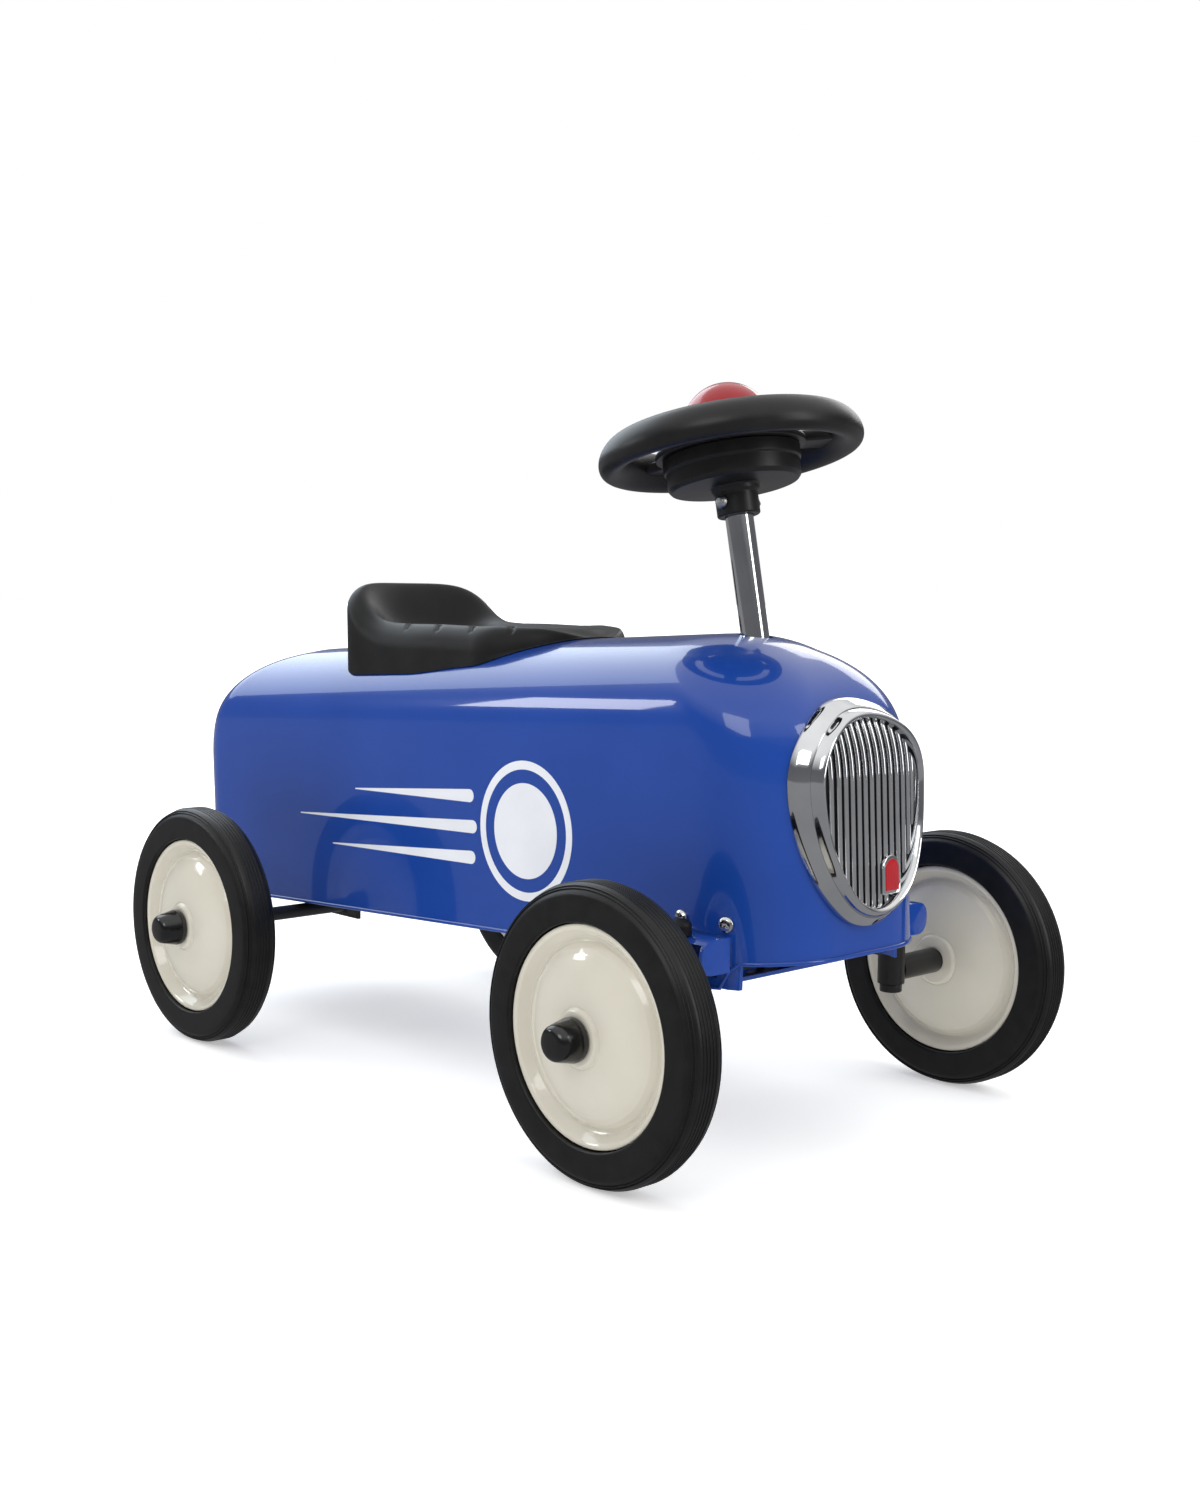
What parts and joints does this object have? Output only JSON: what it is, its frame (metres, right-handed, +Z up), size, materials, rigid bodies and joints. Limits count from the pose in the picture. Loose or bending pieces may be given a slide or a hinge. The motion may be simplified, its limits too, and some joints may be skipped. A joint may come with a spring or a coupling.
{
  "type": "pedal car",
  "caption": "Child's foot-powered ride-on car in pressed steel, with a steered front axle, chrome grille and moulded seat.",
  "frame": {"origin": "on the floor, under the middle of the overall length and width", "axes": "+X forward, towards the grille; +Y to the car's left; +Z up"},
  "size_m": [0.6318, 0.382, 0.4433],
  "materials": {
    "blue_enamel": "gloss enamel",
    "black_enamel": "satin enamel",
    "chrome": "polished",
    "steel": "zinc plated",
    "black_plastic": "satin moulded",
    "cream_plastic": "gloss",
    "red_plastic": "gloss",
    "tyre": "matte rubber"
  },
  "bodies": {
    "root": {"body_shell": "blue_enamel", "grille_surround": "chrome", "grille_bars": "chrome", "grille_badge": "red_plastic", "seat": "black_plastic", "seat_bolt_rear": "steel", "seat_bolt_front": "steel", "front_axle_carrier": "blue_enamel", "front_axle_beam": "black_enamel", "side_screw_left_rear": "chrome", "side_screw_left_front": "chrome", "side_screw_right_rear": "chrome", "side_screw_right_front": "chrome", "kingpin_bracket_left": "blue_enamel", "kingpin_bracket_right": "blue_enamel", "kingpin_left": "black_enamel", "kingpin_right": "black_enamel", "kingpin_nut_left": "black_plastic", "kingpin_nut_right": "black_plastic", "kingpin_spacer_left": "black_enamel", "kingpin_spacer_right": "black_enamel", "rear_axle_hanger": "black_enamel", "rear_axle": "black_enamel", "hub_cap_rear_left": "black_plastic", "hub_cap_rear_right": "black_plastic", "column_bush_upper": "black_plastic", "column_bush_lower": "black_plastic"},
    "steering": {"steering_column": "chrome", "pitman_arm": "black_enamel", "steering_wheel": "black_plastic", "steering_hub": "black_plastic", "hub_bolt": "steel", "hub_nut": "steel", "horn_spring": "steel"},
    "horn": {"horn_button": "red_plastic"},
    "tie_bar": {"tie_rod": "black_enamel"},
    "knuckle_left_body": {"knuckle_left": "black_enamel", "tie_pin_left": "steel", "hub_cap_front_left": "black_plastic"},
    "knuckle_right_body": {"knuckle_right": "black_enamel", "tie_pin_right": "steel", "hub_cap_front_right": "black_plastic"},
    "wheel_front_left": {"tyre_front_left": "tyre", "wheel_disc_outer_front_left": "cream_plastic", "wheel_disc_inner_front_left": "cream_plastic", "wheel_bush_front_left": "black_plastic"},
    "wheel_front_right": {"tyre_front_right": "tyre", "wheel_disc_outer_front_right": "cream_plastic", "wheel_disc_inner_front_right": "cream_plastic", "wheel_bush_front_right": "black_plastic"},
    "wheel_rear_left": {"tyre_rear_left": "tyre", "wheel_disc_outer_rear_left": "cream_plastic", "wheel_disc_inner_rear_left": "cream_plastic", "wheel_bush_rear_left": "black_plastic"},
    "wheel_rear_right": {"tyre_rear_right": "tyre", "wheel_disc_outer_rear_right": "cream_plastic", "wheel_disc_inner_rear_right": "cream_plastic", "wheel_bush_rear_right": "black_plastic"}
  },
  "joints": [
    {"name": "steering_turn", "type": "hinge", "parent": "root", "child": "steering", "pos_m": [0.17611, 0, 0.409], "axis": [-0.1977, 0, 0.9803], "range_deg": [-25, 25]},
    {"name": "horn_press", "type": "slide", "parent": "steering", "child": "horn", "axis": [0.1977, 0, -0.9803], "range_m": [0, 0.003], "stiffness_N_per_m": 800, "springref_m": -0.002},
    {"name": "tie_rod_slide", "type": "slide", "parent": "root", "child": "tie_bar", "axis": [0, 1, 0], "range_m": [-0.0135, 0.0135]},
    {"name": "knuckle_left_pivot", "type": "hinge", "parent": "root", "child": "knuckle_left_body", "pos_m": [0.23341, 0.095, 0.0825], "axis": [0, 0, 1], "range_deg": [-25.5, 25.5]},
    {"name": "knuckle_right_pivot", "type": "hinge", "parent": "root", "child": "knuckle_right_body", "pos_m": [0.23341, -0.095, 0.0825], "axis": [0, 0, 1], "range_deg": [-25.5, 25.5]},
    {"name": "wheel_front_left_spin", "type": "hinge", "parent": "knuckle_left_body", "child": "wheel_front_left", "pos_m": [0.23341, 0.1556, 0.0825], "axis": [0, 1, 0], "continuous": true},
    {"name": "wheel_front_right_spin", "type": "hinge", "parent": "knuckle_right_body", "child": "wheel_front_right", "pos_m": [0.23341, -0.1556, 0.0825], "axis": [0, 1, 0], "continuous": true},
    {"name": "wheel_rear_left_spin", "type": "hinge", "parent": "root", "child": "wheel_rear_left", "pos_m": [-0.17999, 0.1556, 0.0825], "axis": [0, 1, 0], "continuous": true},
    {"name": "wheel_rear_right_spin", "type": "hinge", "parent": "root", "child": "wheel_rear_right", "pos_m": [-0.17999, -0.1556, 0.0825], "axis": [0, 1, 0], "continuous": true}
  ],
  "couplings": [
    {"joint": "knuckle_left_pivot", "follows": "steering_turn", "ratio": 1},
    {"joint": "knuckle_right_pivot", "follows": "steering_turn", "ratio": 1},
    {"joint": "tie_rod_slide", "follows": "steering_turn", "m_per_rad": -0.03}
  ]
}
